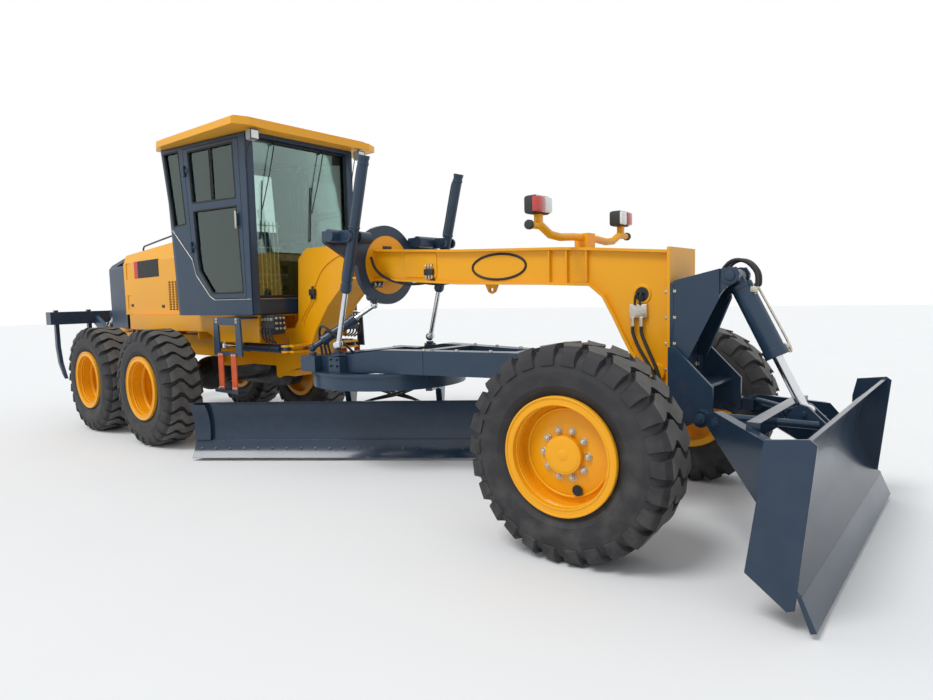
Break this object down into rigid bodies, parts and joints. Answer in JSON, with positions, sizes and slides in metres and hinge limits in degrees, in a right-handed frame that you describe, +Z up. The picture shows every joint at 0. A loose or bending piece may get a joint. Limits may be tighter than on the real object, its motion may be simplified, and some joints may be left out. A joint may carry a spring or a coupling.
{
  "type": "motor grader",
  "caption": "Articulated motor grader with a turning main blade, leaning front wheels, a front dozer blade, tandem drive, enclosed cab and a rear ripper.",
  "frame": {"origin": "centre of the machine's footprint on the ground: the middle of its bounding box in X and Y, at the underside of the tyres", "axes": "+X forward (towards the front blade), +Y to the machine's left, +Z up"},
  "size_m": [10.612, 2.681, 3.499],
  "materials": {
    "yellow_paint": "satin",
    "roof_paint": "satin",
    "blue_grey_paint": "satin",
    "strap_paint": "satin",
    "dark_metal": "satin",
    "chrome_rod": "polished",
    "tyre_rubber": "matte",
    "window_glass": "polished",
    "seat_fabric": "matte",
    "black_plastic": "matte"
  },
  "bodies": {
    "rear_frame_body": {"rear_frame": "yellow_paint", "hood": "yellow_paint", "radiator_cowl": "blue_grey_paint", "engine": "dark_metal", "tandem_drive": "dark_metal", "cab_frame": "blue_grey_paint", "cab_roof": "roof_paint", "cab_glass": "window_glass", "driver_seat": "seat_fabric", "control_console": "black_plastic", "steps": "blue_grey_paint", "step_straps": "strap_paint", "roof_lamps": "black_plastic"},
    "front_frame_body": {"front_frame": "yellow_paint", "saddle": "blue_grey_paint", "front_lamps": "black_plastic", "front_axle": "blue_grey_paint", "dozer_mount": "blue_grey_paint"},
    "left_door_body": {"left_door": "blue_grey_paint", "left_door_glass": "window_glass"},
    "right_door_body": {"right_door": "blue_grey_paint", "right_door_glass": "window_glass"},
    "drawbar_ball_body": {"drawbar_ball_shell": "dark_metal"},
    "drawbar_body": {"drawbar": "blue_grey_paint"},
    "circle_body": {"blade_circle": "blue_grey_paint"},
    "carrier_body": {"blade_carrier": "blue_grey_paint"},
    "blade_body": {"moldboard": "blue_grey_paint", "cutting_edge": "dark_metal"},
    "left_lift_barrel_body": {"left_lift_barrel": "blue_grey_paint"},
    "right_lift_barrel_body": {"right_lift_barrel": "blue_grey_paint"},
    "left_lift_rod_body": {"left_lift_rod": "chrome_rod"},
    "right_lift_rod_body": {"right_lift_rod": "chrome_rod"},
    "shift_rod_body": {"shift_rod": "chrome_rod"},
    "shift_barrel_body": {"shift_barrel": "blue_grey_paint"},
    "left_hitch_barrel_body": {"left_hitch_barrel": "blue_grey_paint"},
    "right_hitch_barrel_body": {"right_hitch_barrel": "blue_grey_paint"},
    "left_hitch_rod_body": {"left_hitch_rod": "chrome_rod"},
    "right_hitch_rod_body": {"right_hitch_rod": "chrome_rod"},
    "dozer_body": {"dozer_blade": "blue_grey_paint"},
    "dozer_barrel_body": {"dozer_barrel": "blue_grey_paint"},
    "dozer_rod_body": {"dozer_rod": "chrome_rod"},
    "ripper_body": {"ripper": "blue_grey_paint"},
    "ripper_barrel_body": {"ripper_barrels": "blue_grey_paint"},
    "ripper_rod_body": {"ripper_rods": "chrome_rod"},
    "left_lean_body": {"left_lean_bracket": "blue_grey_paint"},
    "right_lean_body": {"right_lean_bracket": "blue_grey_paint"},
    "left_knuckle_body": {"left_knuckle": "blue_grey_paint"},
    "right_knuckle_body": {"right_knuckle": "blue_grey_paint"},
    "front_left_wheel": {"front_left_tyre": "tyre_rubber", "front_left_rim": "yellow_paint"},
    "front_right_wheel": {"front_right_tyre": "tyre_rubber", "front_right_rim": "yellow_paint"},
    "middle_left_wheel": {"middle_left_tyre": "tyre_rubber", "middle_left_rim": "yellow_paint"},
    "middle_right_wheel": {"middle_right_tyre": "tyre_rubber", "middle_right_rim": "yellow_paint"},
    "rear_left_wheel": {"rear_left_tyre": "tyre_rubber", "rear_left_rim": "yellow_paint"},
    "rear_right_wheel": {"rear_right_tyre": "tyre_rubber", "rear_right_rim": "yellow_paint"}
  },
  "joints": [
    {"name": "hitch", "type": "hinge", "parent": "rear_frame_body", "child": "front_frame_body", "pos_m": [-0.57, 0, 1.05], "axis": [0, 0, 1], "range_deg": [-20, 20]},
    {"name": "left_wheel_lean", "type": "hinge", "parent": "front_frame_body", "child": "left_lean_body", "pos_m": [3.88, 0.7125, 0.59], "axis": [1, 0, 0], "range_deg": [-17, 17]},
    {"name": "right_wheel_lean", "type": "hinge", "parent": "front_frame_body", "child": "right_lean_body", "pos_m": [3.88, -0.7125, 0.59], "axis": [1, 0, 0], "range_deg": [-17, 17]},
    {"name": "left_steer", "type": "hinge", "parent": "left_lean_body", "child": "left_knuckle_body", "pos_m": [3.88, 0.8155, 0.6725], "axis": [0, 0, 1], "range_deg": [-49.7, 40.3]},
    {"name": "right_steer", "type": "hinge", "parent": "right_lean_body", "child": "right_knuckle_body", "pos_m": [3.88, -0.8155, 0.6725], "axis": [0, 0, 1], "range_deg": [-49.7, 40.3]},
    {"name": "front_left_spin", "type": "hinge", "parent": "left_knuckle_body", "child": "front_left_wheel", "pos_m": [3.85853, 1.07662, 0.6725], "axis": [-0.0819, 0.9966, 0], "continuous": true},
    {"name": "middle_left_spin", "type": "hinge", "parent": "rear_frame_body", "child": "middle_left_wheel", "pos_m": [-1.64, 1.0775, 0.6725], "axis": [0, 1, 0], "continuous": true},
    {"name": "rear_left_spin", "type": "hinge", "parent": "rear_frame_body", "child": "rear_left_wheel", "pos_m": [-3.18, 1.0775, 0.6725], "axis": [0, 1, 0], "continuous": true},
    {"name": "front_right_spin", "type": "hinge", "parent": "right_knuckle_body", "child": "front_right_wheel", "pos_m": [3.90147, -1.07662, 0.6725], "axis": [-0.0819, 0.9966, 0], "continuous": true},
    {"name": "middle_right_spin", "type": "hinge", "parent": "rear_frame_body", "child": "middle_right_wheel", "pos_m": [-1.64, -1.0775, 0.6725], "axis": [0, 1, 0], "continuous": true},
    {"name": "rear_right_spin", "type": "hinge", "parent": "rear_frame_body", "child": "rear_right_wheel", "pos_m": [-3.18, -1.0775, 0.6725], "axis": [0, 1, 0], "continuous": true},
    {"name": "drawbar_yaw", "type": "hinge", "parent": "front_frame_body", "child": "drawbar_ball_body", "pos_m": [3.65, 0, 1], "axis": [0, 0, 1], "range_deg": [-10, 10]},
    {"name": "drawbar_pitch", "type": "hinge", "parent": "drawbar_ball_body", "child": "drawbar_body", "pos_m": [3.65, 0, 1], "axis": [0, 1, 0], "range_deg": [-9, 8.5]},
    {"name": "circle_turn", "type": "hinge", "parent": "drawbar_body", "child": "circle_body", "pos_m": [1.14, 0, 0.875], "axis": [0, 0, 1], "continuous": true},
    {"name": "blade_tilt", "type": "hinge", "parent": "circle_body", "child": "carrier_body", "pos_m": [1.06373, 0.11139, 0.19], "axis": [0.8251, 0.565, 0], "range_deg": [-10, 30]},
    {"name": "side_shift", "type": "slide", "parent": "carrier_body", "child": "blade_body", "axis": [0.8251, 0.565, 0], "range_m": [-0.5, 0.5]},
    {"name": "left_lift_swing", "type": "hinge", "parent": "front_frame_body", "child": "left_lift_barrel_body", "pos_m": [1.39224, 0.64, 2.20009], "axis": [0, 1, 0], "range_deg": [-5, 5.5]},
    {"name": "left_lift_stroke", "type": "slide", "parent": "left_lift_barrel_body", "child": "left_lift_rod_body", "axis": [-0.2626, 0, -0.9649], "range_m": [-0.38, 0.4]},
    {"name": "right_lift_swing", "type": "hinge", "parent": "front_frame_body", "child": "right_lift_barrel_body", "pos_m": [1.39224, -0.64, 2.20009], "axis": [0, 1, 0], "range_deg": [-5, 5.5]},
    {"name": "right_lift_stroke", "type": "slide", "parent": "right_lift_barrel_body", "child": "right_lift_rod_body", "axis": [-0.2626, 0, -0.9649], "range_m": [-0.38, 0.4]},
    {"name": "shift_swing", "type": "hinge", "parent": "front_frame_body", "child": "shift_rod_body", "pos_m": [1.125, -0.17, 1.57], "axis": [-0.8283, 0.5603, 0], "range_deg": [-40, 38]},
    {"name": "shift_stroke", "type": "slide", "parent": "shift_rod_body", "child": "shift_barrel_body", "axis": [-0.4716, -0.6972, -0.54], "range_m": [-0.12, 0.12]},
    {"name": "left_hitch_swing", "type": "hinge", "parent": "front_frame_body", "child": "left_hitch_barrel_body", "pos_m": [0.02, 0.45, 1.12], "axis": [0, 0, 1], "range_deg": [-11, 11]},
    {"name": "left_hitch_stroke", "type": "slide", "parent": "left_hitch_barrel_body", "child": "left_hitch_rod_body", "axis": [-0.9999, 0.0164, 0], "range_m": [-0.18, 0.18]},
    {"name": "right_hitch_swing", "type": "hinge", "parent": "front_frame_body", "child": "right_hitch_barrel_body", "pos_m": [0.02, -0.45, 1.12], "axis": [0, 0, 1], "range_deg": [-11, 11]},
    {"name": "right_hitch_stroke", "type": "slide", "parent": "right_hitch_barrel_body", "child": "right_hitch_rod_body", "axis": [-0.9999, -0.0164, 0], "range_m": [-0.18, 0.18]},
    {"name": "dozer_lift", "type": "hinge", "parent": "front_frame_body", "child": "dozer_body", "pos_m": [4.44, 0, 0.812], "axis": [0, -1, 0], "range_deg": [-6, 32]},
    {"name": "dozer_swing", "type": "hinge", "parent": "front_frame_body", "child": "dozer_barrel_body", "pos_m": [4.535, 0, 1.735], "axis": [0, -1, 0], "range_deg": [-1.5, 5]},
    {"name": "dozer_stroke", "type": "slide", "parent": "dozer_barrel_body", "child": "dozer_rod_body", "axis": [0.4472, 0, -0.8944], "range_m": [-0.31, 0.07]},
    {"name": "ripper_lift", "type": "hinge", "parent": "rear_frame_body", "child": "ripper_body", "pos_m": [-4.31, 0, 1.01], "axis": [0, 1, 0], "range_deg": [-35, 0]},
    {"name": "ripper_swing", "type": "hinge", "parent": "rear_frame_body", "child": "ripper_barrel_body", "pos_m": [-4.31, 0, 1.79], "axis": [0, 1, 0], "range_deg": [-17, 0]},
    {"name": "ripper_stroke", "type": "slide", "parent": "ripper_barrel_body", "child": "ripper_rod_body", "axis": [-0.8029, 0, -0.5961], "range_m": [0, 0.37]},
    {"name": "left_door_hinge", "type": "hinge", "parent": "rear_frame_body", "child": "left_door_body", "pos_m": [-1.11168, 0.85019, 2.1], "axis": [-0.0713, 0.0089, 0.9974], "range_deg": [0, 80]},
    {"name": "right_door_hinge", "type": "hinge", "parent": "rear_frame_body", "child": "right_door_body", "pos_m": [-1.11168, -0.85019, 2.1], "axis": [0.0713, 0.0089, -0.9974], "range_deg": [0, 80]}
  ],
  "couplings": [
    {"joint": "right_wheel_lean", "follows": "left_wheel_lean", "ratio": 1},
    {"joint": "right_steer", "follows": "left_steer", "ratio": 1},
    {"joint": "left_lift_swing", "follows": "drawbar_pitch", "ratio": 0.4646},
    {"joint": "left_lift_stroke", "follows": "drawbar_pitch", "m_per_rad": -2.4952},
    {"joint": "right_lift_swing", "follows": "drawbar_pitch", "ratio": 0.4646},
    {"joint": "right_lift_stroke", "follows": "drawbar_pitch", "m_per_rad": -2.4952},
    {"joint": "shift_swing", "follows": "drawbar_pitch", "ratio": 4.16},
    {"joint": "shift_stroke", "follows": "drawbar_pitch", "m_per_rad": -0.68755},
    {"joint": "left_hitch_swing", "follows": "hitch", "ratio": -0.5224},
    {"joint": "left_hitch_stroke", "follows": "hitch", "m_per_rad": -0.45722},
    {"joint": "right_hitch_swing", "follows": "hitch", "ratio": -0.5224},
    {"joint": "right_hitch_stroke", "follows": "hitch", "m_per_rad": 0.45722},
    {"joint": "dozer_swing", "follows": "dozer_lift", "ratio": 0.1237},
    {"joint": "dozer_stroke", "follows": "dozer_lift", "m_per_rad": -0.52384},
    {"joint": "ripper_swing", "follows": "ripper_lift", "ratio": 0.4521},
    {"joint": "ripper_stroke", "follows": "ripper_lift", "m_per_rad": -0.568}
  ]
}
